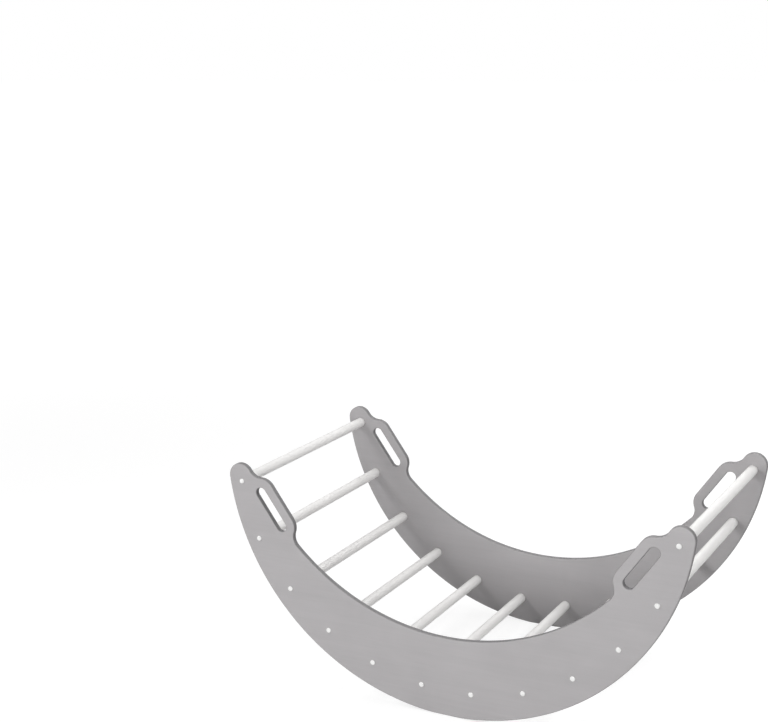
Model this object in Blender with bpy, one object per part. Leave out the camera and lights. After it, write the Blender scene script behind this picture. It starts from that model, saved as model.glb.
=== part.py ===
"""Climbing arch: two crescent side panels joined by twelve round rungs.

The arch stands on the outer curve of its panels, as a rocker.
X runs along its length, Y across its width and Z up; the origin is on the floor below its middle.
All lengths are in metres and all angles in degrees.
"""

import math

import bmesh
import bpy
from mathutils import Vector

# Side panels
PANEL_THICKNESS = 0.012
CLEAR_WIDTH = 0.500
OUTER_RADIUS = 0.504
FLAT_LENGTH = 0.060
MIDDLE_DEPTH = 0.166
INNER_RADIUS = 0.482
TIP_RADIUS = 0.027
TIP_ANGLE = 82.6
EDGE_RADIUS = 0.002

# Hand grips, one at each end of a panel: the upper end of the slot is placed from the
# centre of the tip, and its lower end a little out from the inner curve
GRIP_INSET = 0.0495
GRIP_DROP = 0.0315
GRIP_LENGTH = 0.081
SLOT_SETBACK = 0.0017
SLOT_WIDTH = 0.0224
GRIP_BAR_WIDTH = 0.0206
TIP_FILLET = 0.030
GRIP_FILLET = 0.027

# Rungs: for the six on each side of the middle, how far round each lies on the way from
# straight down to the tip's angle, and the distance in from the outer curve
RUNG_DIAMETER = 0.022
RUNG_END_CHAMFER = 0.001
RUNG_POCKET_DEPTH = 0.005
RUNG_ANGLE_SHARES = (0.0845, 0.2608, 0.4364, 0.6151, 0.7982, 0.9840)
RUNG_SETBACKS = (0.0538, 0.0514, 0.0473, 0.0407, 0.0312, 0.0291)

# Screws that hold the rungs
SCREW_DIAMETER = 0.006
SCREW_LENGTH = 0.045
SCREW_POINT = 0.006
POINT_RADIUS = 0.001
HEAD_DIAMETER = 0.0105
HEAD_HEIGHT = 0.0018
RIM_HEIGHT = 0.0006
DOME_INSET = 0.0018
SHOULDER_INSET = 0.0006
SHOULDER_DROP = 0.0005
SOCKET_WIDTH = 0.0040
SOCKET_DEPTH = 0.0028

# Fits
CLEARANCE = 0.0003

# Facets
LARGE_ARC_STEP = 3.0
SMALL_ARC_STEP = 15.0
EDGE_STEPS = 1
RUNG_SIDES = 24
SCREW_SIDES = 12
SHARP_ANGLE = 35.0

PANEL_COLOUR = (0.42, 0.42, 0.43, 1.0)
RUNG_COLOUR = (0.80, 0.79, 0.77, 1.0)
SCREW_COLOUR = (0.62, 0.63, 0.65, 1.0)

ARC_CENTRE = Vector((0.0, math.sqrt(OUTER_RADIUS**2 - (FLAT_LENGTH / 2) ** 2)))
INNER_CENTRE = Vector((0.0, MIDDLE_DEPTH + INNER_RADIUS))
POCKET_RADIUS = RUNG_DIAMETER / 2 + CLEARANCE
RUNG_LENGTH = CLEAR_WIDTH + 2 * (RUNG_POCKET_DEPTH - CLEARANCE)
SCREW_HOLE_RADIUS = SCREW_DIAMETER / 2 + CLEARANCE
PILOT_DEPTH = SCREW_LENGTH - (PANEL_THICKNESS - RUNG_POCKET_DEPTH) + CLEARANCE


def clear_scene():
    """Remove every object that is in the file."""
    for item in list(bpy.data.objects):
        bpy.data.objects.remove(item, do_unlink=True)


def from_down(centre, radius, angle):
    """The point at an angle from straight down, on the left of a centre."""
    turn = math.radians(angle)
    return centre + radius * Vector((-math.sin(turn), -math.cos(turn)))


def heading(start, end):
    """The direction from one point to another, in degrees anticlockwise from +X."""
    step = end - start
    return math.degrees(math.atan2(step.y, step.x))


def arc(centre, radius, start, end, step):
    """Points on an arc from one direction to another, both ends included."""
    count = max(2, math.ceil(abs(end - start) / step))
    turns = [math.radians(start + (end - start) * i / count) for i in range(count + 1)]
    return [centre + radius * Vector((math.cos(turn), math.sin(turn))) for turn in turns]


def clockwise_arc(centre, radius, start, end, step):
    """The arc that turns clockwise between two directions."""
    return arc(centre, radius, start, start - (start - end) % 360.0, step)


def anticlockwise_arc(centre, radius, start, end, step):
    """The arc that turns anticlockwise between two directions."""
    return arc(centre, radius, start, start + (end - start) % 360.0, step)


def meeting_point(first, first_radius, second, second_radius, left):
    """Where two circles cross, on the left or right of the way from the first to the second."""
    across = second - first
    gap = across.length
    along = (first_radius**2 - second_radius**2 + gap**2) / (2 * gap)
    aside = math.sqrt(first_radius**2 - along**2)
    along_way = across / gap
    side_way = Vector((-along_way.y, along_way.x)) * (1 if left else -1)
    return first + along_way * along + side_way * aside


def tip_centre():
    """Centre of the round tip at the left end of a panel."""
    return from_down(ARC_CENTRE, OUTER_RADIUS - TIP_RADIUS, TIP_ANGLE)


def slot_centres():
    """Centres of the upper and lower round ends of the left hand slot."""
    upper = tip_centre() + Vector((GRIP_INSET, -GRIP_DROP))
    lower = meeting_point(upper, GRIP_LENGTH, INNER_CENTRE, INNER_RADIUS + SLOT_SETBACK, left=False)
    return upper, lower


def left_half_outline():
    """Panel outline from the flat below, round the left tip and grip, to the middle of the inner curve."""
    tip = tip_centre()
    upper, lower = slot_centres()
    grip_radius = SLOT_WIDTH / 2 + GRIP_BAR_WIDTH
    grip_side = heading(upper, lower) + 90.0
    flat_end = Vector((-FLAT_LENGTH / 2, 0.0))
    upper_fillet = meeting_point(tip, TIP_RADIUS + TIP_FILLET, upper, grip_radius + TIP_FILLET, left=True)
    lower_fillet = meeting_point(
        lower, grip_radius + GRIP_FILLET, INNER_CENTRE, INNER_RADIUS - GRIP_FILLET, left=False
    )
    to_tip = heading(ARC_CENTRE, tip)
    pieces = [
        clockwise_arc(ARC_CENTRE, OUTER_RADIUS, heading(ARC_CENTRE, flat_end), to_tip, LARGE_ARC_STEP),
        clockwise_arc(tip, TIP_RADIUS, to_tip, heading(tip, upper_fillet), SMALL_ARC_STEP),
        anticlockwise_arc(
            upper_fillet, TIP_FILLET, heading(upper_fillet, tip), heading(upper_fillet, upper), SMALL_ARC_STEP
        ),
        clockwise_arc(upper, grip_radius, heading(upper, upper_fillet), grip_side, SMALL_ARC_STEP)
        + clockwise_arc(lower, grip_radius, grip_side, heading(lower, lower_fillet), SMALL_ARC_STEP),
        anticlockwise_arc(
            lower_fillet,
            GRIP_FILLET,
            heading(lower_fillet, lower),
            heading(INNER_CENTRE, lower_fillet),
            SMALL_ARC_STEP,
        ),
        anticlockwise_arc(
            INNER_CENTRE, INNER_RADIUS, heading(INNER_CENTRE, lower_fillet), -90.0, LARGE_ARC_STEP
        ),
    ]
    points = [flat_end]
    for piece in pieces:
        points += piece[1:]
    return points


def mirrored(points):
    """The same points on the other side of the middle, in the opposite order."""
    return [Vector((-point.x, point.y)) for point in reversed(points)]


def panel_outline():
    """The closed outline of a panel, clockwise."""
    left = left_half_outline()
    return left + mirrored(left[:-1])


def slot_outlines():
    """The closed outlines of the two hand slots, anticlockwise."""
    upper, lower = slot_centres()
    side = heading(upper, lower) + 90.0
    left = anticlockwise_arc(upper, SLOT_WIDTH / 2, side, side + 180.0, SMALL_ARC_STEP)
    left += anticlockwise_arc(lower, SLOT_WIDTH / 2, side + 180.0, side, SMALL_ARC_STEP)
    return [left, mirrored(left)]


def shifted_inwards(points, distance):
    """A closed outline moved into the material, which lies on the right of its way round."""
    moved = []
    for index, point in enumerate(points):
        before = (point - points[index - 1]).normalized()
        after = (points[(index + 1) % len(points)] - point).normalized()
        way = (before + after).normalized()
        inward = Vector((way.y, -way.x))
        square = Vector((after.y, -after.x))
        moved.append(point + inward * distance / inward.dot(square))
    return moved


def edge_profile():
    """How far in from the outline, and at what depth, each ring of a panel's edge lies."""
    rings = []
    for index in range(EDGE_STEPS + 1):
        turn = math.radians(90.0 * index / EDGE_STEPS)
        inset = EDGE_RADIUS * (1 - math.sin(turn))
        depth = EDGE_RADIUS * (1 - math.cos(turn))
        rings.append((inset, depth - PANEL_THICKNESS / 2))
    return rings + [(inset, -depth) for inset, depth in reversed(rings)]


def ring_edges(ring):
    """The edges round a closed ring of vertices."""
    edges = []
    for index, vertex in enumerate(ring):
        edges += [edge for edge in vertex.link_edges if edge.other_vert(vertex) is ring[index - 1]]
    return edges


def join_rings(shape, first, second):
    """Faces between two rings with as many vertices each."""
    for index in range(len(first)):
        shape.faces.new((first[index - 1], first[index], second[index], second[index - 1]))


def close_mesh(shape, name):
    """Turn a finished shape into a mesh with its faces pointing out."""
    bmesh.ops.recalc_face_normals(shape, faces=shape.faces)
    mesh = bpy.data.meshes.new(name)
    shape.to_mesh(mesh)
    shape.free()
    mesh.shade_smooth()
    mesh.set_sharp_from_angle(angle=math.radians(SHARP_ANGLE))
    return mesh


def round_ring(radius, place, sides):
    """Points round a circle about Y, at one place along it."""
    turns = [math.tau * index / sides for index in range(sides)]
    return [(radius * math.cos(turn), place, radius * math.sin(turn)) for turn in turns]


def hexagon_ring(width, place, sides):
    """Points round a hexagon about Y, at its corners and the middles of its flats."""
    corner_radius = width / math.sqrt(3)
    points = round_ring(corner_radius, place, sides)
    for index in range(1, sides, 2):
        before, after = points[index - 1], points[(index + 1) % sides]
        points[index] = ((before[0] + after[0]) / 2, place, (before[2] + after[2]) / 2)
    return points


def ringed_mesh(name, rings):
    """A closed solid from rings of as many points each, with a flat face at each end."""
    shape = bmesh.new()
    made = [[shape.verts.new(point) for point in ring] for ring in rings]
    for first, second in zip(made, made[1:]):
        join_rings(shape, first, second)
    shape.faces.new(made[0])
    shape.faces.new(made[-1])
    return close_mesh(shape, name)


def rung_places():
    """The (x, z) place of each rung, from left to right."""
    left = []
    for share, setback in zip(RUNG_ANGLE_SHARES, RUNG_SETBACKS):
        left.append(from_down(ARC_CENTRE, OUTER_RADIUS - setback, share * TIP_ANGLE))
    return list(reversed(left)) + [Vector((-place.x, place.y)) for place in left]


def rung_hole_rings(place):
    """The rings of a stepped hole through a panel, from the screw's side to the rung's."""
    face = PANEL_THICKNESS / 2
    pocket_floor = face - RUNG_POCKET_DEPTH
    profile = [
        (SCREW_HOLE_RADIUS, -face),
        (SCREW_HOLE_RADIUS, pocket_floor),
        (POCKET_RADIUS, pocket_floor),
        (POCKET_RADIUS, face),
    ]
    centre = Vector((place.x, 0.0, place.y))
    return [[centre + Vector(point) for point in round_ring(radius, y, RUNG_SIDES)] for radius, y in profile]


def panel_mesh():
    """A panel centred on its own thickness, its inner face at +Y, with its hand slots and rung holes."""
    ring_sets = []
    for outline in [panel_outline()] + slot_outlines():
        rings = []
        for inset, place in edge_profile():
            rings.append([(point.x, place, point.y) for point in shifted_inwards(outline, inset)])
        ring_sets.append(rings)
    ring_sets += [rung_hole_rings(place) for place in rung_places()]

    shape = bmesh.new()
    outside_edges = []
    inside_edges = []
    for rings in ring_sets:
        made = [[shape.verts.new(point) for point in ring] for ring in rings]
        for first, second in zip(made, made[1:]):
            join_rings(shape, first, second)
        outside_edges += ring_edges(made[0])
        inside_edges += ring_edges(made[-1])
    bmesh.ops.triangle_fill(shape, edges=outside_edges, use_beauty=True)
    bmesh.ops.triangle_fill(shape, edges=inside_edges, use_beauty=True)
    return close_mesh(shape, "side_panel")


def rung_mesh():
    """A round rung along Y with chamfered ends and a blind screw hole in each."""
    radius = RUNG_DIAMETER / 2
    end = RUNG_LENGTH / 2
    half_profile = [
        (SCREW_HOLE_RADIUS, end - PILOT_DEPTH),
        (SCREW_HOLE_RADIUS, end),
        (radius - RUNG_END_CHAMFER, end),
        (radius, end - RUNG_END_CHAMFER),
    ]
    profile = half_profile + [(radius, -place) for radius, place in reversed(half_profile)]
    return ringed_mesh("rung", [round_ring(radius, place, RUNG_SIDES) for radius, place in profile])


def screw_mesh():
    """A domed screw with a hexagon socket, the underside of its head at the origin and its point at +Y."""
    shank = SCREW_DIAMETER / 2
    head = HEAD_DIAMETER / 2
    socket_places = [SOCKET_DEPTH - HEAD_HEIGHT, -HEAD_HEIGHT]
    profile = [
        (head - DOME_INSET, -HEAD_HEIGHT),
        (head - SHOULDER_INSET, SHOULDER_DROP - HEAD_HEIGHT),
        (head, -RIM_HEIGHT),
        (head, 0.0),
        (shank, 0.0),
        (shank, SCREW_LENGTH - SCREW_POINT),
        (POINT_RADIUS, SCREW_LENGTH),
    ]
    rings = [hexagon_ring(SOCKET_WIDTH, place, SCREW_SIDES) for place in socket_places]
    rings += [round_ring(radius, place, SCREW_SIDES) for radius, place in profile]
    return ringed_mesh("rung_screw", rings)


def finish(name, colour, roughness, metallic):
    """A plain surface finish."""
    material = bpy.data.materials.new(name)
    material.use_nodes = True
    shader = material.node_tree.nodes["Principled BSDF"]
    shader.inputs["Base Color"].default_value = colour
    shader.inputs["Roughness"].default_value = roughness
    shader.inputs["Metallic"].default_value = metallic
    return material


def place_piece(name, mesh, location, turned, parent):
    """One piece at its place, turned half way round Z if asked."""
    piece = bpy.data.objects.new(name, mesh)
    bpy.context.scene.collection.objects.link(piece)
    piece.location = location
    piece.rotation_euler = (0.0, 0.0, math.pi if turned else 0.0)
    piece.parent = parent
    return piece


def build_arch():
    """Every piece of the arch, placed under one empty."""
    arch = bpy.data.objects.new("climbing_arch", None)
    bpy.context.scene.collection.objects.link(arch)
    panel = panel_mesh()
    panel.materials.append(finish("panel_paint", PANEL_COLOUR, 0.55, 0.0))
    rung = rung_mesh()
    rung.materials.append(finish("rung_paint", RUNG_COLOUR, 0.45, 0.0))
    screw = screw_mesh()
    screw.materials.append(finish("screw_zinc", SCREW_COLOUR, 0.30, 1.0))
    panel_place = (CLEAR_WIDTH + PANEL_THICKNESS) / 2
    head_place = CLEAR_WIDTH / 2 + PANEL_THICKNESS + CLEARANCE
    place_piece("side_panel_front", panel, (0.0, -panel_place, 0.0), False, arch)
    place_piece("side_panel_back", panel, (0.0, panel_place, 0.0), True, arch)
    for number, place in enumerate(rung_places(), start=1):
        place_piece(f"rung_{number:02d}", rung, (place.x, 0.0, place.y), False, arch)
        place_piece(f"screw_front_{number:02d}", screw, (place.x, -head_place, place.y), False, arch)
        place_piece(f"screw_back_{number:02d}", screw, (place.x, head_place, place.y), True, arch)


clear_scene()
build_arch()
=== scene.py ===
"""Finished look of the climbing arch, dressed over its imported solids.

Two painted plywood panels carry twelve painted rungs. A screw through the panel holds each end of
each rung, and a white cap hides each screw head. Lengths are in metres and angles in degrees. X runs
along the arch, Y across it and Z up.
"""

import logging
import math
from collections.abc import Callable, Mapping, Sequence
from dataclasses import dataclass
from enum import Enum
from functools import partial
from typing import ClassVar

import bmesh
import bpy
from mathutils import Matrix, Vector


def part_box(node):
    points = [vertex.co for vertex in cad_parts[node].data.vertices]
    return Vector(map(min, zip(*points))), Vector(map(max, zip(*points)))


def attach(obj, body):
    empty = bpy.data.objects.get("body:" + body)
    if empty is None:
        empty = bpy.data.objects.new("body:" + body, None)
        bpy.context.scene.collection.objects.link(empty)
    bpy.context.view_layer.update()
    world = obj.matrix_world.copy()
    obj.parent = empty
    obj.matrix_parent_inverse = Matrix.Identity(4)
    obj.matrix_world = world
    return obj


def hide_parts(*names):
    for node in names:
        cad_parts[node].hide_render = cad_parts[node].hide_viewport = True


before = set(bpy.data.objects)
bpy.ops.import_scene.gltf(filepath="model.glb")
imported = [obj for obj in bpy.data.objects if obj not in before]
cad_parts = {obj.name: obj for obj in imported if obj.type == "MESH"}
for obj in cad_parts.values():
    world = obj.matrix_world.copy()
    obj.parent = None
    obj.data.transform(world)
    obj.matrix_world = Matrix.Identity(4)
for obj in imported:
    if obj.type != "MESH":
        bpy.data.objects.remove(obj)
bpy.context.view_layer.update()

BODY = "root"
SHARP_ANGLE = 35.0

Triple = tuple[float, float, float]
Colour = tuple[float, float, float, float]
Mesh = bpy.types.Mesh
Material = bpy.types.Material
Socket = bpy.types.NodeSocket
Outputs = bpy.types.NodeOutputs
Feed = float | Sequence[float] | Socket
Form = Callable[[float, float], float]
Profile = list[tuple[float, float, Form]]

log = logging.getLogger("climbing_arch")


class Side(Enum):
    """The side of the arch that a piece is on, as the sign of its Y."""

    FRONT = -1
    BACK = 1

    @property
    def word(self) -> str:
        """The side's name in lower case."""
        return self.name.lower()


class Turn(Enum):
    """Which way round an arc goes, seen from the front."""

    CLOCKWISE = -1
    ANTICLOCKWISE = 1


class Grain(Enum):
    """How often the wood's fibres repeat in a metre along X, Y and Z."""

    ALONG_ARCH = (16.0, 700.0, 420.0)
    ALONG_RUNG = (620.0, 14.0, 620.0)


# Drawing in the plane of a panel


def from_down(centre: Vector, radius: float, angle: float) -> Vector:
    """The point at an angle from straight down, on the left of a centre."""
    turn = math.radians(angle)
    return centre + radius * Vector((-math.sin(turn), -math.cos(turn)))


def heading(start: Vector, end: Vector) -> float:
    """The direction from one point to another, in degrees anticlockwise from +X."""
    step = end - start
    return math.degrees(math.atan2(step.y, step.x))


def arc(centre: Vector, radius: float, start: float, end: float, turn: Turn, step: float) -> list[Vector]:
    """Points round an arc.

    Args:
        centre: The middle of its circle.
        radius: The radius of its circle.
        start: The direction of its first point from the centre.
        end: The direction of its last point from the centre.
        turn: Which way round it goes.
        step: The widest angle between two neighbouring points.

    Returns:
        The points in order, both ends included.
    """
    sweep = (end - start) * turn.value % 360.0
    count = max(2, math.ceil(sweep / step))
    turns = [math.radians(start + turn.value * sweep * index / count) for index in range(count + 1)]
    return [centre + radius * Vector((math.cos(angle), math.sin(angle))) for angle in turns]


def meeting_point(
    first: Vector, first_radius: float, second: Vector, second_radius: float, left: bool
) -> Vector:
    """Find where two circles cross.

    Args:
        first: The centre of one circle.
        first_radius: Its radius.
        second: The centre of the other circle.
        second_radius: Its radius.
        left: Whether to take the crossing on the left of the way from the first to the second.

    Returns:
        The crossing.
    """
    across = second - first
    gap = across.length
    along = (first_radius**2 - second_radius**2 + gap**2) / (2 * gap)
    aside = math.sqrt(first_radius**2 - along**2)
    along_way = across / gap
    side_way = Vector((-along_way.y, along_way.x)) * (1 if left else -1)
    return first + along_way * along + side_way * aside


def mirrored(points: Sequence[Vector]) -> list[Vector]:
    """The same points on the other side of the middle, in the opposite order."""
    return [Vector((-point.x, point.y)) for point in reversed(points)]


def shifted_inwards(points: Sequence[Vector], distance: float) -> list[Vector]:
    """Move a closed outline into the material on the right of its way round.

    Args:
        points: The outline.
        distance: How far each of its sides moves.

    Returns:
        The moved outline, with as many points.
    """
    moved = []
    for index, point in enumerate(points):
        before = (point - points[index - 1]).normalized()
        after = (points[(index + 1) % len(points)] - point).normalized()
        way = (before + after).normalized()
        inward = Vector((way.y, -way.x))
        square = Vector((after.y, -after.x))
        moved.append(point + inward * distance / inward.dot(square))
    return moved


@dataclass(frozen=True)
class PanelShape:
    """The outline of a panel seen from the front, from the radii and places that set it."""

    outer_radius: float = 0.504
    flat_length: float = 0.060
    middle_depth: float = 0.166
    inner_radius: float = 0.482
    tip_radius: float = 0.027
    tip_angle: float = 82.6
    grip_inset: float = 0.0495
    grip_drop: float = 0.0315
    grip_length: float = 0.081
    slot_setback: float = 0.0017
    slot_width: float = 0.0224
    grip_bar_width: float = 0.0206
    tip_fillet: float = 0.030
    grip_fillet: float = 0.027
    large_step: float = 1.0
    small_step: float = 5.0

    @property
    def arc_centre(self) -> Vector:
        """Centre of the outer curve."""
        return Vector((0.0, math.sqrt(self.outer_radius**2 - (self.flat_length / 2) ** 2)))

    @property
    def inner_centre(self) -> Vector:
        """Centre of the inner curve."""
        return Vector((0.0, self.middle_depth + self.inner_radius))

    @property
    def tip_centre(self) -> Vector:
        """Centre of the round tip at the left end."""
        return from_down(self.arc_centre, self.outer_radius - self.tip_radius, self.tip_angle)

    @property
    def slot_centres(self) -> tuple[Vector, Vector]:
        """Work out the two round ends of the left hand slot.

        Returns:
            The centre of its upper end and that of its lower end.
        """
        upper = self.tip_centre + Vector((self.grip_inset, -self.grip_drop))
        reach = self.inner_radius + self.slot_setback
        return upper, meeting_point(upper, self.grip_length, self.inner_centre, reach, left=False)

    def tip_and_grip(self) -> list[list[Vector]]:
        """Draw the arcs from the left tip round its hand grip to the inner curve.

        Returns:
            One list of points for each arc, in order.
        """
        tip = self.tip_centre
        upper, lower = self.slot_centres
        grip_radius = self.slot_width / 2 + self.grip_bar_width
        grip_side = heading(upper, lower) + 90.0
        tip_reach = self.tip_radius + self.tip_fillet
        upper_fillet = meeting_point(tip, tip_reach, upper, grip_radius + self.tip_fillet, left=True)
        grip_reach = grip_radius + self.grip_fillet
        inner_reach = self.inner_radius - self.grip_fillet
        lower_fillet = meeting_point(lower, grip_reach, self.inner_centre, inner_reach, left=False)
        to_tip = heading(self.arc_centre, tip)
        leaves_tip = heading(tip, upper_fillet)
        meets_grip = heading(upper_fillet, upper)
        leaves_grip = heading(lower, lower_fillet)
        to_middle = heading(self.inner_centre, lower_fillet)
        arcs = [
            (tip, self.tip_radius, to_tip, leaves_tip, Turn.CLOCKWISE),
            (upper_fillet, self.tip_fillet, leaves_tip + 180.0, meets_grip, Turn.ANTICLOCKWISE),
            (upper, grip_radius, meets_grip + 180.0, grip_side, Turn.CLOCKWISE),
            (lower, grip_radius, grip_side, leaves_grip, Turn.CLOCKWISE),
            (lower_fillet, self.grip_fillet, leaves_grip + 180.0, to_middle, Turn.ANTICLOCKWISE),
        ]
        inner = (self.inner_centre, self.inner_radius, to_middle, -90.0, Turn.ANTICLOCKWISE)
        return [arc(*values, self.small_step) for values in arcs] + [arc(*inner, self.large_step)]

    def outline(self) -> list[Vector]:
        """Draw the whole outline.

        Returns:
            Its points, clockwise from the left end of the flat below.
        """
        flat_end = Vector((-self.flat_length / 2, 0.0))
        start = heading(self.arc_centre, flat_end)
        to_tip = heading(self.arc_centre, self.tip_centre)
        left = arc(self.arc_centre, self.outer_radius, start, to_tip, Turn.CLOCKWISE, self.large_step)
        grip_bar_start = 3
        for index, piece in enumerate(self.tip_and_grip()):
            left += piece if index == grip_bar_start else piece[1:]
        return left + mirrored(left[:-1])

    def slots(self) -> list[list[Vector]]:
        """Draw the two hand slots.

        Returns:
            One closed outline for each slot, anticlockwise.
        """
        upper, lower = self.slot_centres
        side = heading(upper, lower) + 90.0
        radius = self.slot_width / 2
        left = arc(upper, radius, side, side + 180.0, Turn.ANTICLOCKWISE, self.small_step)
        left += arc(lower, radius, side + 180.0, side, Turn.ANTICLOCKWISE, self.small_step)
        return [left, mirrored(left)]


# Meshes


class Draft:
    """A mesh while it is made out of rings of points."""

    def __init__(self, marks: Sequence[str] = ()) -> None:
        """Start an empty mesh whose points can carry the named marks."""
        self.shape = bmesh.new()
        self.marks = {mark: self.shape.verts.layers.float.new(mark) for mark in marks}

    def ring(self, points: Sequence[Sequence[float]], **marks: float) -> list[bmesh.types.BMVert]:
        """Add one ring of points.

        Args:
            points: The points in order round the ring.
            **marks: The value of each mark on all of them.

        Returns:
            The new vertices.
        """
        made = [self.shape.verts.new(point) for point in points]
        for vertex in made:
            for mark, value in marks.items():
                vertex[self.marks[mark]] = value
        return made

    def join(self, rings: Sequence[list[bmesh.types.BMVert]]) -> None:
        """Put a band of faces between each ring and the next.

        Args:
            rings: Rings of as many vertices each.
        """
        for first, second in zip(rings, rings[1:]):
            for index in range(len(first)):
                self.shape.faces.new((first[index - 1], first[index], second[index], second[index - 1]))

    def fill(self, rings: Sequence[list[bmesh.types.BMVert]]) -> None:
        """Close a flat face between its outline and its holes.

        Args:
            rings: The rings that bound the face.
        """
        edges = []
        for ring in rings:
            for index, vertex in enumerate(ring):
                edges += [edge for edge in vertex.link_edges if edge.other_vert(vertex) is ring[index - 1]]
        bmesh.ops.triangle_fill(self.shape, edges=edges, use_beauty=True)

    def mesh(self, name: str) -> Mesh:
        """Finish the mesh, smooth up to its sharp edges.

        Args:
            name: What to call it.

        Returns:
            The mesh, with its faces pointing out.
        """
        bmesh.ops.recalc_face_normals(self.shape, faces=self.shape.faces)
        mesh = bpy.data.meshes.new(name)
        self.shape.to_mesh(mesh)
        self.shape.free()
        mesh.shade_smooth()
        mesh.set_sharp_from_angle(angle=math.radians(SHARP_ANGLE))
        return mesh


def circle(radius: float, angle: float) -> float:
    """The radius of a round ring, the same at every angle."""
    return radius


def hexagon(across_flats: float, angle: float) -> float:
    """The radius of a hexagon with a corner at angle 0, at an angle in degrees."""
    return across_flats / 2 / math.cos(math.radians(angle % 60.0 - 30.0))


@dataclass(frozen=True)
class Spot:
    """The place where a rung meets one panel, with distances measured out from the panel's outer face."""

    number: int
    x: float
    z: float
    face: float
    side: Side

    @property
    def ending(self) -> str:
        """What the names of the screw and the cap there end in."""
        return f"{self.side.word}_{self.number:02d}"

    def ring(self, size: float, out: float, sides: int, form: Form = circle) -> list[Vector]:
        """Place the points of a ring round the rung's axis.

        Args:
            size: The size that the form takes.
            out: The distance out from the panel's outer face.
            sides: How many points there are.
            form: What gives the radius for a size and an angle.

        Returns:
            The points in order.
        """
        y = self.side.value * (self.face + out)
        points = []
        for index in range(sides):
            angle = 360.0 * index / sides
            radius = form(size, angle)
            turn = math.radians(angle)
            points.append(Vector((self.x + radius * math.cos(turn), y, self.z + radius * math.sin(turn))))
        return points


def turned(name: str, spot: Spot, sides: int, profile: Profile) -> Mesh:
    """Make a closed mesh out of rings round a rung's axis, with a flat face in the first and the last.

    Args:
        name: What to call it.
        spot: Where the axis is.
        sides: How many points each ring has.
        profile: The size of each ring, its distance out from the panel's face, and its form.

    Returns:
        The mesh.
    """
    draft = Draft()
    rings = [draft.ring(spot.ring(size, out, sides, form)) for size, out, form in profile]
    draft.join(rings)
    draft.shape.faces.new(rings[0])
    draft.shape.faces.new(rings[-1])
    return draft.mesh(name)


@dataclass(frozen=True)
class Layout:
    """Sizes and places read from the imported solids."""

    outer_face: float
    thickness: float
    rung_radius: float
    rung_half_length: float
    rung_places: tuple[Vector, ...]

    @classmethod
    def from_frame(cls) -> "Layout":
        """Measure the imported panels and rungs.

        Returns:
            Their layout.
        """
        low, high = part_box("side_panel_back")
        rungs = [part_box(name) for name in sorted(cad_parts) if name.startswith("rung_")]
        first_low, first_high = rungs[0]
        places = tuple(Vector(((a.x + b.x) / 2, (a.z + b.z) / 2)) for a, b in rungs)
        return cls(high.y, high.y - low.y, (first_high.x - first_low.x) / 2, first_high.y, places)

    def spots(self, *sides: Side) -> list[Spot]:
        """The place of each rung on the panels of those sides, from left to right."""
        places = list(enumerate(self.rung_places, start=1))
        return [Spot(number, *place, self.outer_face, side) for side in sides for number, place in places]


def show(name: str, mesh: Mesh, finish: Material, node: str | None) -> None:
    """Put a finished piece in the scene, riding on the arch.

    Args:
        name: What to call it.
        mesh: Its mesh, in place.
        finish: Its material.
        node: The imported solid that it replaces, if it replaces one.
    """
    piece = bpy.data.objects.new(name, mesh)
    bpy.context.scene.collection.objects.link(piece)
    mesh.materials.append(finish)
    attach(piece, BODY)
    if node:
        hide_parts(node)
    log.info("%s: %d faces", name, len(mesh.polygons))


# Shader nodes


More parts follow.
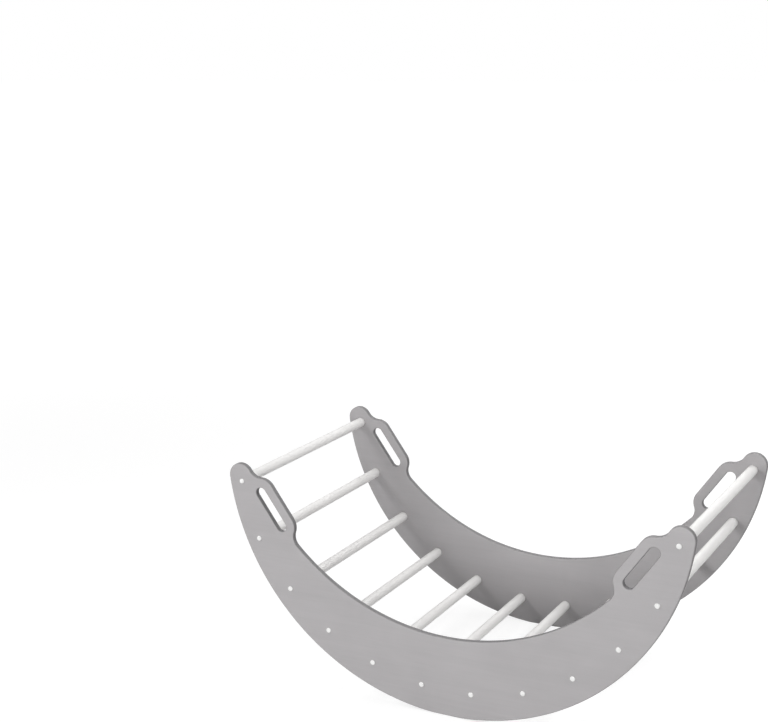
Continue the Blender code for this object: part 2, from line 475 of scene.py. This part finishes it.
class NodeDesk:
    """Puts nodes in a tree, column by column, and sets or joins their inputs."""

    COLUMN_WIDTH = 220.0
    ROW_HEIGHT = 320.0
    ROWS = 4

    def __init__(self, tree: bpy.types.NodeTree) -> None:
        """Start on a tree, which is emptied."""
        self.tree = tree
        tree.nodes.clear()

    def feed(self, socket: Socket, value: Feed) -> None:
        """Join an input to an output, or set it to a constant.

        Args:
            socket: The input.
            value: The output or the constant.
        """
        if isinstance(value, Socket):
            self.tree.links.new(value, socket)
        else:
            socket.default_value = value

    def put(
        self, kind: str, inputs: Mapping[str | int, Feed] | None = None, **settings: object
    ) -> bpy.types.Node:
        """Add a node.

        Args:
            kind: Its type.
            inputs: What feeds its inputs, by their names or places.
            **settings: Its own settings.

        Returns:
            The node.
        """
        column, row = divmod(len(self.tree.nodes), self.ROWS)
        node = self.tree.nodes.new(kind)
        node.location = (self.COLUMN_WIDTH * column, -self.ROW_HEIGHT * row)
        for name, value in settings.items():
            setattr(node, name, value)
        for name, value in (inputs or {}).items():
            self.feed(node.inputs[name], value)
        return node

    def math(self, operation: str, *values: Feed, clamp: bool = False) -> Socket:
        """Work out a number.

        Args:
            operation: What to do, as the Math node names it.
            *values: What to do it with.
            clamp: Whether to keep the result between 0 and 1.

        Returns:
            The result.
        """
        node = self.put("ShaderNodeMath", dict(enumerate(values)), operation=operation, use_clamp=clamp)
        return node.outputs["Value"]

    def ramp(
        self, value: Feed, low: float = 0.0, high: float = 1.0, start: float = 0.0, end: float = 1.0
    ) -> Socket:
        """Move a value smoothly from one level to another.

        Args:
            value: The value to read.
            low: Where the ramp starts.
            high: Where it ends.
            start: The result at and before its start.
            end: The result at and past its end.

        Returns:
            The result.
        """
        levels = {"Value": value, "From Min": low, "From Max": high, "To Min": start, "To Max": end}
        return self.put("ShaderNodeMapRange", levels, interpolation_type="SMOOTHSTEP").outputs["Result"]

    def noise(self, place: Feed, scale: Feed, detail: float = 2.0, distortion: float = 0.0) -> Socket:
        """Make smooth noise.

        Args:
            place: Where to read it.
            scale: How often it repeats in one unit of the place.
            detail: How many finer layers it has.
            distortion: How far it is pulled out of shape.

        Returns:
            The noise, from 0 to 1.
        """
        values = {"Vector": place, "Scale": scale, "Detail": detail, "Distortion": distortion}
        return self.put("ShaderNodeTexNoise", values).outputs["Fac"]

    def tint(self, share: Feed, first: Feed, second: Feed) -> Socket:
        """Mix two colours.

        Args:
            share: How much of the second there is.
            first: The first colour.
            second: The second colour.

        Returns:
            The mixed colour.
        """
        node = self.put("ShaderNodeMix", data_type="RGBA")
        shown = [socket for socket in node.inputs if socket.enabled]
        for socket, value in zip(shown, (share, first, second)):
            self.feed(socket, value)
        return next(socket for socket in node.outputs if socket.enabled)

    def attribute(self, name: str) -> Socket:
        """A mark that the mesh carries."""
        return self.put("ShaderNodeAttribute", attribute_name=name).outputs["Fac"]


class MaterialDesk(NodeDesk):
    """The desk of a new material."""

    def __init__(self, name: str) -> None:
        """Start a material on an empty tree.

        Args:
            name: What to call it.
        """
        self.material = bpy.data.materials.new(name)
        self.material.use_nodes = True
        super().__init__(self.material.node_tree)
        self.position = self.put("ShaderNodeTexCoord").outputs["Object"]

    def finish(self, colour: Feed, roughness: Feed, height: Socket, metallic: float = 0.0) -> Material:
        """Put the shader and the output at the end of the nodes.

        Args:
            colour: The base colour.
            roughness: The roughness.
            height: How far the surface stands out, in metres.
            metallic: How metallic it is.

        Returns:
            The material.
        """
        relief = {"Height": height, "Strength": 1.0, "Distance": 1.0}
        normal = self.put("ShaderNodeBump", relief).outputs["Normal"]
        surface = {"Base Color": colour, "Roughness": roughness, "Metallic": metallic, "Normal": normal}
        shader = self.put("ShaderNodeBsdfPrincipled", surface)
        self.put("ShaderNodeOutputMaterial", {"Surface": shader.outputs["BSDF"]})
        return self.material


class Effect:
    """A shader node group that several finishes share, built when the first of them asks for it."""

    NAME: ClassVar[str]
    INPUTS: ClassVar[dict[str, float | Triple]]

    @classmethod
    def wire(cls, desk: NodeDesk, given: Outputs) -> dict[str, Socket]:
        """Wire the group's own nodes, and give its outputs by their names."""
        raise NotImplementedError

    @classmethod
    def tree(cls) -> bpy.types.NodeTree:
        """Build the group, or find it.

        Returns:
            The group's node tree.
        """
        if cls.NAME in bpy.data.node_groups:
            return bpy.data.node_groups[cls.NAME]
        tree = bpy.data.node_groups.new(cls.NAME, "ShaderNodeTree")
        for name, usual in cls.INPUTS.items():
            kind = "NodeSocketVector" if isinstance(usual, tuple) else "NodeSocketFloat"
            tree.interface.new_socket(name, in_out="INPUT", socket_type=kind).default_value = usual
        desk = NodeDesk(tree)
        masks = cls.wire(desk, desk.put("NodeGroupInput").outputs)
        for name in masks:
            tree.interface.new_socket(name, in_out="OUTPUT", socket_type="NodeSocketFloat")
        desk.put("NodeGroupOutput", masks)
        return tree

    @classmethod
    def put(cls, desk: MaterialDesk, **values: Feed) -> Outputs:
        """Place the group in a finish.

        Args:
            desk: The desk of the finish.
            **values: What feeds the group's inputs, by their names, apart from the position.

        Returns:
            The group's outputs.
        """
        inputs = {"Position": desk.position, **values}
        return desk.put("ShaderNodeGroup", inputs, node_tree=cls.tree()).outputs


class WoodGrain(Effect):
    """Fibres and the broader figure of the wood, as they show through paint."""

    NAME = "wood_grain"
    INPUTS = {"Position": (0.0, 0.0, 0.0), "Repeats": (100.0, 100.0, 100.0), "Figure_Share": 0.1}

    @classmethod
    def wire(cls, desk: NodeDesk, given: Outputs) -> dict[str, Socket]:
        """Wire the fibres, and the figure that they follow.

        Args:
            desk: The group's desk.
            given: Its inputs.

        Returns:
            Its outputs, by their names.
        """
        repeated = {0: given["Position"], 1: given["Repeats"]}
        fine = desk.put("ShaderNodeVectorMath", repeated, operation="MULTIPLY").outputs["Vector"]
        share = {0: fine, "Scale": given["Figure_Share"]}
        broad = desk.put("ShaderNodeVectorMath", share, operation="SCALE").outputs["Vector"]
        fibre = desk.noise(fine, scale=1.0, detail=5.0, distortion=0.3)
        figure = desk.noise(broad, scale=1.0, detail=3.0, distortion=1.4)
        return {
            "Fibre": desk.ramp(fibre, low=0.3, high=0.7),
            "Figure": desk.ramp(figure, low=0.25, high=0.75),
        }


class PaintFilm(Effect):
    """The unevenness of a coat of paint: broad patches, the roller's stipple and small dust nibs."""

    NAME = "paint_film"
    INPUTS = {"Position": (0.0, 0.0, 0.0), "Patch_Scale": 9.0, "Stipple_Scale": 700.0, "Nib_Scale": 70.0}

    @classmethod
    def wire(cls, desk: NodeDesk, given: Outputs) -> dict[str, Socket]:
        """Wire the patches, the stipple and the nibs.

        Args:
            desk: The group's desk.
            given: Its inputs.

        Returns:
            Its outputs, by their names.
        """
        patches = desk.noise(given["Position"], given["Patch_Scale"], detail=4.0, distortion=0.6)
        stipple = desk.noise(given["Position"], given["Stipple_Scale"])
        cells = {"Vector": given["Position"], "Scale": given["Nib_Scale"]}
        nearest = desk.put("ShaderNodeTexVoronoi", cells)
        nibs = desk.ramp(nearest.outputs["Distance"], low=0.045, high=0.02)
        chosen = desk.ramp(nearest.outputs["Color"], low=0.62, high=0.66)
        return {
            "Patches": desk.ramp(patches, low=0.3, high=0.7),
            "Stipple": desk.ramp(stipple, low=0.25, high=0.75),
            "Nibs": desk.math("MULTIPLY", nibs, chosen),
        }


class EdgeWear(Effect):
    """Rubbed places along the edges that a mesh marks."""

    NAME = "edge_wear"
    INPUTS = {"Edge": 0.0, "Position": (0.0, 0.0, 0.0), "Amount": 0.3}

    @classmethod
    def wire(cls, desk: NodeDesk, given: Outputs) -> dict[str, Socket]:
        """Wire the rubbed places, broken up by two sizes of noise.

        Args:
            desk: The group's desk.
            given: Its inputs.

        Returns:
            Its outputs, by their names.
        """
        stretches = desk.ramp(desk.noise(given["Position"], scale=14.0, detail=3.0), low=0.45, high=0.7)
        chips = desk.ramp(desk.noise(given["Position"], scale=260.0, detail=3.0), low=0.35, high=0.65)
        edged = desk.math("MULTIPLY", desk.math("MULTIPLY", stretches, chips), given["Edge"])
        return {"Rubbed": desk.math("MULTIPLY", edged, given["Amount"], clamp=True)}


class Dust(Effect):
    """Fine dust on what faces up."""

    NAME = "dust"
    INPUTS = {"Position": (0.0, 0.0, 0.0), "Facing": (0.0, 0.0, 0.0), "Amount": 0.2}

    @classmethod
    def wire(cls, desk: NodeDesk, given: Outputs) -> dict[str, Socket]:
        """Wire the dust, thickest on level faces.

        Args:
            desk: The group's desk.
            given: Its inputs.

        Returns:
            Its outputs, by their names.
        """
        upward = desk.put("ShaderNodeSeparateXYZ", {"Vector": given["Facing"]}).outputs["Z"]
        drifts = desk.ramp(desk.noise(given["Position"], scale=45.0, detail=5.0), low=0.35, high=0.75)
        cover = desk.math("MULTIPLY", desk.ramp(upward, low=0.35), drifts)
        return {"Cover": desk.math("MULTIPLY", cover, given["Amount"], clamp=True)}


# Finishes


@dataclass(frozen=True)
class WoodPaint:
    """Paint that lets the wood show faintly: what the coats of the panels and the rungs share."""

    grain: Grain
    light: Colour
    dark: Colour
    figure_share: float
    fibre_share: float
    patch_share: float
    patch_scale: float
    smooth: float
    rough: float
    fibre_depth: float
    stipple_depth: float
    dust: Colour
    dust_amount: float
    nib_height: float = 0.00005

    def coat(self, desk: MaterialDesk) -> tuple[Socket, Socket, Socket]:
        """Lay the clean paint over the wood.

        Args:
            desk: The material's desk.

        Returns:
            The paint's colour, its roughness and its height in metres.
        """
        grain = WoodGrain.put(desk, Repeats=self.grain.value)
        film = PaintFilm.put(desk, Patch_Scale=self.patch_scale)
        figure = desk.math("MULTIPLY", grain["Figure"], self.figure_share)
        fibre = desk.math("MULTIPLY_ADD", grain["Fibre"], self.fibre_share, figure)
        tone = desk.math("MULTIPLY_ADD", film["Patches"], self.patch_share, fibre)
        height = desk.math("MULTIPLY", grain["Fibre"], self.fibre_depth)
        height = desk.math("MULTIPLY_ADD", film["Stipple"], self.stipple_depth, height)
        height = desk.math("MULTIPLY_ADD", film["Nibs"], self.nib_height, height)
        roughness = desk.ramp(film["Patches"], start=self.smooth, end=self.rough)
        return desk.tint(tone, self.dark, self.light), roughness, height

    def dust_cover(self, desk: MaterialDesk) -> Socket:
        """The share of the surface that dust covers."""
        facing = desk.put("ShaderNodeNewGeometry").outputs["Normal"]
        return Dust.put(desk, Facing=facing, Amount=self.dust_amount)["Cover"]


@dataclass(frozen=True)
class PanelPaint(WoodPaint):
    """Satin grey paint on plywood, whose layers show faintly along its cut edges, which are darkened by
    painted shade.
    """

    grain: Grain = Grain.ALONG_ARCH
    light: Colour = (0.421, 0.407, 0.414, 1.0)
    dark: Colour = (0.380, 0.367, 0.374, 1.0)
    figure_share: float = 0.35
    fibre_share: float = 0.25
    patch_share: float = 0.4
    patch_scale: float = 9.0
    smooth: float = 0.40
    rough: float = 0.50
    fibre_depth: float = 0.000030
    stipple_depth: float = 0.000014
    dust: Colour = (0.620, 0.610, 0.600, 1.0)
    dust_amount: float = 0.06
    dust_roughness: float = 0.5
    # Painted shade: a dark grey over the cut edges stands in for the shade that falls on them, since their
    # real paint is the face's grey.
    soaked: Colour = (0.095, 0.092, 0.095, 1.0)
    soaked_share: float = 0.85
    soaked_roughness: float = 0.12
    glue: Colour = (0.060, 0.058, 0.060, 1.0)
    glue_share: float = 0.45
    glue_depth: float = 0.00006
    glue_start: float = 0.34
    layers: int = 9
    wander: float = 1 / 3
    wander_scale: float = 30.0
    rubbed: Colour = (0.480, 0.468, 0.455, 1.0)
    rubbed_share: float = 0.35

    def glue_lines(self, desk: MaterialDesk, layout: Layout) -> Socket:
        """Draw the glue lines between the plywood's layers.

        Args:
            desk: The material's desk.
            layout: Where the panel's faces are.

        Returns:
            A mask, 1 on the lines.
        """
        layer = layout.thickness / self.layers
        across = desk.put("ShaderNodeSeparateXYZ", {"Vector": desk.position}).outputs["Y"]
        depth = desk.math("SUBTRACT", layout.outer_face, desk.math("ABSOLUTE", across))
        wander = desk.noise(desk.position, self.wander_scale)
        wavy = desk.math("MULTIPLY_ADD", wander, layer * self.wander, depth)
        counted = desk.math("MULTIPLY", wavy, 1 / layer)
        off_middle = desk.math("ABSOLUTE", desk.math("SUBTRACT", desk.math("FRACT", counted), 0.5))
        return desk.ramp(off_middle, low=self.glue_start, high=0.5)

    def material(self, layout: Layout) -> Material:
        """Make the paint.

        Args:
            layout: Where the panel's faces are.

        Returns:
            The material.
        """
        desk = MaterialDesk("satin_grey_paint")
        rim = desk.attribute("rim")
        colour, roughness, height = self.coat(desk)
        dust = self.dust_cover(desk)
        wear = EdgeWear.put(desk, Edge=desk.attribute("edge"), Amount=self.rubbed_share)
        lines = desk.math("MULTIPLY", self.glue_lines(desk, layout), rim)
        # Painted shade: the cut edges turn towards the dark grey by their rim mark.
        colour = desk.tint(desk.math("MULTIPLY", rim, self.soaked_share), colour, self.soaked)
        colour = desk.tint(desk.math("MULTIPLY", lines, self.glue_share), colour, self.glue)
        colour = desk.tint(wear["Rubbed"], colour, self.rubbed)
        colour = desk.tint(dust, colour, self.dust)
        roughness = desk.math("MULTIPLY_ADD", rim, self.soaked_roughness, roughness)
        roughness = desk.math("MULTIPLY_ADD", dust, self.dust_roughness, roughness, clamp=True)
        height = desk.math("MULTIPLY_ADD", lines, -self.glue_depth, height)
        return desk.finish(colour, roughness, height)


@dataclass(frozen=True)
class RungPaint(WoodPaint):
    """Off-white paint on round beech rungs, with the fibres telegraphing through it."""

    grain: Grain = Grain.ALONG_RUNG
    light: Colour = (0.88, 0.87, 0.86, 1.0)
    dark: Colour = (0.83, 0.82, 0.81, 1.0)
    figure_share: float = 0.0
    fibre_share: float = 0.45
    patch_share: float = 0.55
    patch_scale: float = 28.0
    smooth: float = 0.46
    rough: float = 0.58
    fibre_depth: float = 0.000010
    stipple_depth: float = 0.000010
    dust: Colour = (0.70, 0.69, 0.67, 1.0)
    dust_amount: float = 0.12

    def material(self) -> Material:
        """Make the paint.

        Returns:
            The material.
        """
        desk = MaterialDesk("satin_white_paint")
        colour, roughness, height = self.coat(desk)
        return desk.finish(desk.tint(self.dust_cover(desk), colour, self.dust), roughness, height)


@dataclass(frozen=True)
class FineFinish:
    """The finish of a small part: two close shades in patches, under a fine texture."""

    name: str
    light: Colour
    dark: Colour
    patch_scale: float
    smooth: float
    rough: float
    stipple_scale: float
    stipple_depth: float
    metallic: float = 0.0

    def material(self) -> Material:
        """Make the finish.

        Returns:
            The material.
        """
        desk = MaterialDesk(self.name)
        film = PaintFilm.put(desk, Patch_Scale=self.patch_scale, Stipple_Scale=self.stipple_scale)
        colour = desk.tint(film["Patches"], self.dark, self.light)
        roughness = desk.ramp(film["Patches"], start=self.smooth, end=self.rough)
        height = desk.math("MULTIPLY", film["Stipple"], self.stipple_depth)
        return desk.finish(colour, roughness, height, self.metallic)


@dataclass(frozen=True)
class ZincSteel(FineFinish):
    """Bright zinc on the screws, with faint crystals."""

    name: str = "bright_zinc"
    light: Colour = (0.68, 0.69, 0.71, 1.0)
    dark: Colour = (0.50, 0.51, 0.53, 1.0)
    patch_scale: float = 350.0
    smooth: float = 0.24
    rough: float = 0.40
    stipple_scale: float = 2500.0
    stipple_depth: float = 0.000004
    metallic: float = 1.0


@dataclass(frozen=True)
class CapPlastic(FineFinish):
    """White moulded plastic with a fine matt texture."""

    name: str = "white_cap_plastic"
    light: Colour = (0.88, 0.88, 0.87, 1.0)
    dark: Colour = (0.83, 0.83, 0.82, 1.0)
    patch_scale: float = 160.0
    smooth: float = 0.34
    rough: float = 0.44
    stipple_scale: float = 2200.0
    stipple_depth: float = 0.000006


# The arch


@dataclass(frozen=True)
class SidePanels:
    """The two crescent panels, with rounded edges, hand slots and a stepped hole for each rung."""

    layout: Layout
    shape: PanelShape = PanelShape()
    paint: PanelPaint = PanelPaint()
    edge_radius: float = 0.002
    edge_steps: int = 5
    least_edge_mark: float = 0.4
    facet_allowance: float = 0.0002
    band: float = 0.001
    pocket_depth: float = 0.005
    pocket_gap: float = 0.0003
    pocket_ease: float = 0.0003
    screw_hole_radius: float = 0.0033
    hole_sides: int = 48

    def edge_rings(self) -> list[tuple[float, float, dict[str, float]]]:
        """Work out the rings that carry an outline from one face round to the other.

        Returns:
            How far in from the outline each ring lies, its depth below the outer face, and its marks.
        """
        half = [(self.edge_radius + self.band, 0.0, {"rim": 0.0, "edge": 0.0})]
        for index in range(self.edge_steps + 1):
            turn = math.radians(90.0 * index / self.edge_steps)
            inset = self.edge_radius * (1 - math.sin(turn))
            depth = self.edge_radius * (1 - math.cos(turn))
            edge = self.least_edge_mark + (1 - self.least_edge_mark) * math.sin(2 * turn)
            half.append((inset, depth, {"rim": index / self.edge_steps, "edge": edge}))
        half.append((0.0, self.edge_radius + self.band, {"rim": 1.0, "edge": 0.0}))
        thickness = self.layout.thickness
        return half + [(inset, thickness - depth, marks) for inset, depth, marks in reversed(half)]

    def hole_rings(self, spot: Spot) -> list[list[Vector]]:
        """Work out the rings of the stepped hole for one rung.

        Args:
            spot: The rung's place on the panel.

        Returns:
            The rings, from the screw's side to the rung's.
        """
        pocket = self.layout.rung_radius + self.pocket_gap
        pocket_floor = self.layout.thickness - self.pocket_depth
        profile = [
            (self.screw_hole_radius, 0.0),
            (self.screw_hole_radius, pocket_floor),
            (pocket, pocket_floor),
            (pocket, self.layout.thickness - self.pocket_ease),
            (pocket + self.pocket_ease, self.layout.thickness),
        ]
        return [spot.ring(radius, -depth, self.hole_sides) for radius, depth in profile]

    def mesh(self, side: Side) -> Mesh:
        """Build one panel in its place.

        Args:
            side: Which panel it is.

        Returns:
            Its mesh.
        """
        draft = Draft(("rim", "edge"))
        bands = []
        for outline in [self.shape.outline()] + self.shape.slots():
            rings = []
            for inset, depth, marks in self.edge_rings():
                y = side.value * (self.layout.outer_face - depth)
                moved = shifted_inwards(outline, inset + self.facet_allowance)
                rings.append(draft.ring([(point.x, y, point.y) for point in moved], **marks))
            bands.append(rings)
        for spot in self.layout.spots(side):
            bands.append([draft.ring(points) for points in self.hole_rings(spot)])
        for rings in bands:
            draft.join(rings)
        draft.fill([rings[0] for rings in bands])
        draft.fill([rings[-1] for rings in bands])
        return draft.mesh(f"panel_{side.word}")

    def build(self) -> None:
        """Build and dress both panels."""
        finish = self.paint.material(self.layout)
        for side in Side:
            name = f"painted_panel_{side.word}"
            show(name, self.mesh(side), finish, f"side_panel_{side.word}")


@dataclass(frozen=True)
class RungSet:
    """The twelve round rungs, each a little uneven, as sanded dowel is."""

    layout: Layout
    paint: RungPaint = RungPaint()
    sides: int = 48
    spacing: float = 0.02
    end_ease: float = 0.001
    unevenness: float = 0.00006
    taper_wave: float = 31.0
    taper_shift: float = 2.1
    oval_wave: float = 17.0
    hole_radius: float = 0.0033
    hole_depth: float = 0.0383

    def uneven(self, number: int, place: float, size: float, angle: float) -> float:
        """Work out the radius of a rung at one point.

        Args:
            number: The rung's number, which sets its own unevenness.
            place: The point's place along the rung.
            size: The even radius.
            angle: The point's angle round the rung.

        Returns:
            The radius there.
        """
        taper = math.sin(self.taper_wave * place + self.taper_shift * number)
        oval = math.sin(2 * math.radians(angle) + self.oval_wave * place + number)
        return size - self.unevenness * (1 + (taper + oval) / 2)

    def profile(self, number: int) -> Profile:
        """Work out the rings of one rung.

        Args:
            number: The rung's number.

        Returns:
            Its rings, from the bottom of one screw hole to that of the other.
        """
        radius = self.layout.rung_radius
        half = self.layout.rung_half_length
        body = half - self.end_ease
        steps = round(2 * body / self.spacing)
        end = [
            (self.hole_radius, half - self.hole_depth),
            (self.hole_radius, half),
            (radius - self.end_ease, half),
        ]
        rings = [(size, place, circle) for size, place in end]
        for index in range(steps + 1):
            place = body - 2 * body * index / steps
            rings.append((radius, place, partial(self.uneven, number, place)))
        rings += [(size, -place, circle) for size, place in reversed(end)]
        return [(size, place - self.layout.outer_face, form) for size, place, form in rings]

    def build(self) -> None:
        """Build and dress every rung."""
        finish = self.paint.material()
        for spot in self.layout.spots(Side.FRONT):
            node = f"rung_{spot.number:02d}"
            mesh = turned(f"rung_mesh_{spot.number:02d}", spot, self.sides, self.profile(spot.number))
            show(f"painted_{node}", mesh, finish, node)


@dataclass(frozen=True)
class Screws:
    """The threaded screws that hold the rungs, with a hexagon socket in a low round head."""

    layout: Layout
    plating: ZincSteel = ZincSteel()
    sides: int = 24
    head_radius: float = 0.0042
    head_height: float = 0.0010
    head_ease: float = 0.0002
    head_lift: float = 0.00005
    socket_width: float = 0.0040
    socket_depth: float = 0.0028
    core_radius: float = 0.0022
    thread_height: float = 0.0008
    thread_pitch: float = 0.0024
    thread_steps: int = 8
    neck_length: float = 0.008
    length: float = 0.045
    point_length: float = 0.006
    point_radius: float = 0.0008

    def threaded(self, depth: float, core: float, angle: float) -> float:
        """The core's radius with the thread's ridge on it, at a depth below the head and an angle."""
        phase = math.tau * (depth / self.thread_pitch - angle / 360.0)
        return core + self.thread_height * (0.5 + 0.5 * math.cos(phase)) ** 2

    def profile(self) -> Profile:
        """Work out the rings of a screw.

        Returns:
            Its rings, from the floor of its socket to its point.
        """
        top = self.head_lift + self.head_height
        neck_radius = self.core_radius + self.thread_height
        rings = [
            (self.socket_width, top - self.socket_depth, hexagon),
            (self.socket_width, top, hexagon),
            (self.head_radius - self.head_ease, top, circle),
            (self.head_radius, top - self.head_ease, circle),
            (self.head_radius, self.head_lift, circle),
            (neck_radius, self.head_lift, circle),
            (neck_radius, -self.neck_length, circle),
        ]
        thread_length = self.length - self.point_length - self.neck_length
        count = round(thread_length / self.thread_pitch * self.thread_steps)
        for index in range(1, count + 1):
            depth = self.neck_length + thread_length * index / count
            rings.append((self.core_radius, -depth, partial(self.threaded, depth)))
        return rings + [(self.point_radius, -self.length, circle)]

    def build(self) -> None:
        """Build and dress every screw."""
        finish = self.plating.material()
        profile = self.profile()
        for spot in self.layout.spots(*Side):
            node = f"screw_{spot.ending}"
            mesh = turned(f"{node}_mesh", spot, self.sides, profile)
            show(f"threaded_{node}", mesh, finish, node)


@dataclass(frozen=True)
class Caps:
    """The white caps over the screw heads: thin domes with a hexagon pin that grips the socket."""

    layout: Layout
    plastic: CapPlastic = CapPlastic()
    sides: int = 36
    radius: float = 0.0052
    height: float = 0.00204
    wall: float = 0.00045
    roof: float = 0.00055
    fullness: float = 4.0
    dome_steps: int = 8
    middle_radius: float = 0.0004
    lift: float = 0.00003
    pin_width: float = 0.0037
    pin_end_width: float = 0.0033
    pin_depth: float = 0.0009
    pin_clearance: float = 1.1

    def dome(self, radius: float, height: float, innermost: float) -> list[tuple[float, float]]:
        """Work out the section of a dome from its middle to its rim.

        Args:
            radius: Its radius at the rim.
            height: Its height in the middle.
            innermost: The radius of its first ring.

        Returns:
            The radius and the height of each ring.
        """
        section = []
        for index in range(self.dome_steps + 1):
            turn = math.radians(90.0 * index / self.dome_steps)
            ring_radius = innermost + (radius - innermost) * math.sin(turn)
            share = min(1.0, ring_radius / radius)
            section.append((ring_radius, height * (1 - share**self.fullness) ** (1 / self.fullness)))
        return section

    def profile(self) -> Profile:
        """Work out the rings of a cap.

        Returns:
            Its rings, from the middle of its dome round the rim to the end of its pin.
        """
        clear_of_pin = self.pin_width / math.sqrt(3) * self.pin_clearance
        roof_height = self.height - self.roof
        outside = self.dome(self.radius, self.height - self.lift, self.middle_radius)
        inside = self.dome(self.radius - self.wall, roof_height - self.lift, clear_of_pin)
        pin = [(self.pin_width, roof_height, hexagon), (self.pin_end_width, -self.pin_depth, hexagon)]
        return [(radius, self.lift + out, circle) for radius, out in outside + inside[::-1]] + pin

    def build(self) -> None:
        """Build and dress every cap."""
        finish = self.plastic.material()
        profile = self.profile()
        for spot in self.layout.spots(*Side):
            name = f"cap_{spot.ending}"
            mesh = turned(f"{name}_mesh", spot, self.sides, profile)
            show(name, mesh, finish, None)


# The studio


@dataclass(frozen=True)
class SoftBox:
    """A large soft lamp that faces a point of the arch."""

    name: str
    power: float
    width: float
    height: float
    place: Triple
    aim: Triple = (0.0, 0.0, 0.22)

    def build(self) -> None:
        """Hang the lamp."""
        lamp = bpy.data.lights.new(self.name, "AREA")
        lamp.shape = "RECTANGLE"
        lamp.energy = self.power
        lamp.size = self.width
        lamp.size_y = self.height
        holder = bpy.data.objects.new(self.name, lamp)
        holder.location = self.place
        holder.rotation_euler = (Vector(self.aim) - Vector(self.place)).to_track_quat("-Z", "Y").to_euler()
        holder.visible_camera = False
        bpy.context.scene.collection.objects.link(holder)
        log.info("%s: %.0f W", self.name, self.power)


@dataclass(frozen=True)
class Studio:
    """A plain pale floor under soft light, which the camera sees against white."""

    floor_half_width: float = 30.0
    floor_drop: float = 0.0001
    floor_colour: Colour = (0.62, 0.62, 0.62, 1.0)
    floor_seen_colour: Colour = (0.30, 0.30, 0.30, 1.0)
    floor_glow: float = 0.77
    glow_start: float = 1.5
    glow_end: float = 5.0
    ambient: float = 0.03
    boxes: tuple[SoftBox, ...] = (
        SoftBox("front_soft_box", power=70.0, width=2.4, height=0.9, place=(0.0, -3.56, 0.75)),
        SoftBox("key_soft_box", power=38.0, width=1.1, height=1.1, place=(-2.30, -1.45, 2.50)),
        SoftBox("right_soft_box", power=62.0, width=2.4, height=2.0, place=(2.55, 0.0, 2.77)),
        SoftBox("top_soft_box", power=24.0, width=2.4, height=2.0, place=(0.06, 0.0, 3.82)),
        SoftBox("back_soft_box", power=38.0, width=2.4, height=2.0, place=(0.0, 2.31, 2.98)),
        SoftBox("low_back_soft_box", power=26.0, width=2.4, height=1.6, place=(0.0, 3.56, 0.85)),
    )

    def seen(self, desk: NodeDesk) -> Socket:
        """Tell the rays that show the background from those that light the arch.

        Args:
            desk: The desk of the floor or the world.

        Returns:
            1 for camera, glossy and transmission rays, and 0 for the rest.
        """
        rays = desk.put("ShaderNodeLightPath").outputs
        shown = desk.math("MAXIMUM", rays["Is Camera Ray"], rays["Is Glossy Ray"])
        return desk.math("MAXIMUM", shown, rays["Is Transmission Ray"])

    def build_floor(self) -> None:
        """Lay the floor."""
        reach = self.floor_half_width
        corners = [(-reach, -reach), (reach, -reach), (reach, reach), (-reach, reach)]
        mesh = bpy.data.meshes.new("studio_floor")
        mesh.from_pydata([(x, y, -self.floor_drop) for x, y in corners], [], [(0, 1, 2, 3)])
        desk = MaterialDesk("studio_floor_sheet")
        plain = desk.put("ShaderNodeBsdfDiffuse", {"Color": self.floor_colour})
        shaded = desk.put("ShaderNodeBsdfDiffuse", {"Color": self.floor_seen_colour})
        away = desk.put("ShaderNodeVectorMath", {0: desk.position}, operation="LENGTH").outputs["Value"]
        strength = desk.ramp(away, self.glow_start, self.glow_end, start=self.floor_glow)
        glow = desk.put("ShaderNodeEmission", {"Strength": strength})
        pale = desk.put("ShaderNodeAddShader", {0: shaded.outputs["BSDF"], 1: glow.outputs["Emission"]})
        choice = {0: self.seen(desk), 1: plain.outputs["BSDF"], 2: pale.outputs["Shader"]}
        chosen = desk.put("ShaderNodeMixShader", choice)
        desk.put("ShaderNodeOutputMaterial", {"Surface": chosen.outputs["Shader"]})
        mesh.materials.append(desk.material)
        floor = bpy.data.objects.new("studio_floor", mesh)
        bpy.context.scene.collection.objects.link(floor)
        log.info("%s laid", floor.name)

    def build_world(self) -> None:
        """Set the faint light from all round, and the white behind the arch."""
        world = bpy.data.worlds.new("studio_world")
        world.use_nodes = True
        desk = NodeDesk(world.node_tree)
        strength = desk.ramp(self.seen(desk), start=self.ambient)
        background = desk.put("ShaderNodeBackground", {"Color": (1.0, 1.0, 1.0, 1.0), "Strength": strength})
        desk.put("ShaderNodeOutputWorld", {"Surface": background.outputs["Background"]})
        bpy.context.scene.world = world

    def build(self) -> None:
        """Set up the floor, the world and the lamps."""
        bpy.context.scene.view_settings.view_transform = "Standard"
        self.build_floor()
        self.build_world()
        for box in self.boxes:
            box.build()


@dataclass(frozen=True)
class PhotoCamera:
    """The photograph's view: from the right and a little above, through a short telephoto lens."""

    place: Triple = (1.20514, -2.72878, 1.35505)
    tilt: float = 77.220
    lean: float = 1.086
    turn: float = 28.111
    lens: float = 69.38
    sensor_width: float = 36.0

    def build(self) -> None:
        """Set up the camera and make it the scene's own."""
        view = bpy.data.cameras.new("photo_camera")
        view.lens = self.lens
        view.sensor_fit = "HORIZONTAL"
        view.sensor_width = self.sensor_width
        camera = bpy.data.objects.new("photo_camera", view)
        camera.location = self.place
        camera.rotation_euler = [math.radians(angle) for angle in (self.tilt, self.lean, self.turn)]
        bpy.context.scene.collection.objects.link(camera)
        bpy.context.scene.camera = camera
        log.info("%s: %.1f mm lens", camera.name, self.lens)


def main() -> None:
    """Build the arch and its studio."""
    logging.basicConfig(level=logging.INFO, format="%(name)s %(message)s")
    layout = Layout.from_frame()
    PhotoCamera().build()
    Studio().build()
    SidePanels(layout).build()
    RungSet(layout).build()
    Screws(layout).build()
    Caps(layout).build()


if __name__ == "__main__":
    main()
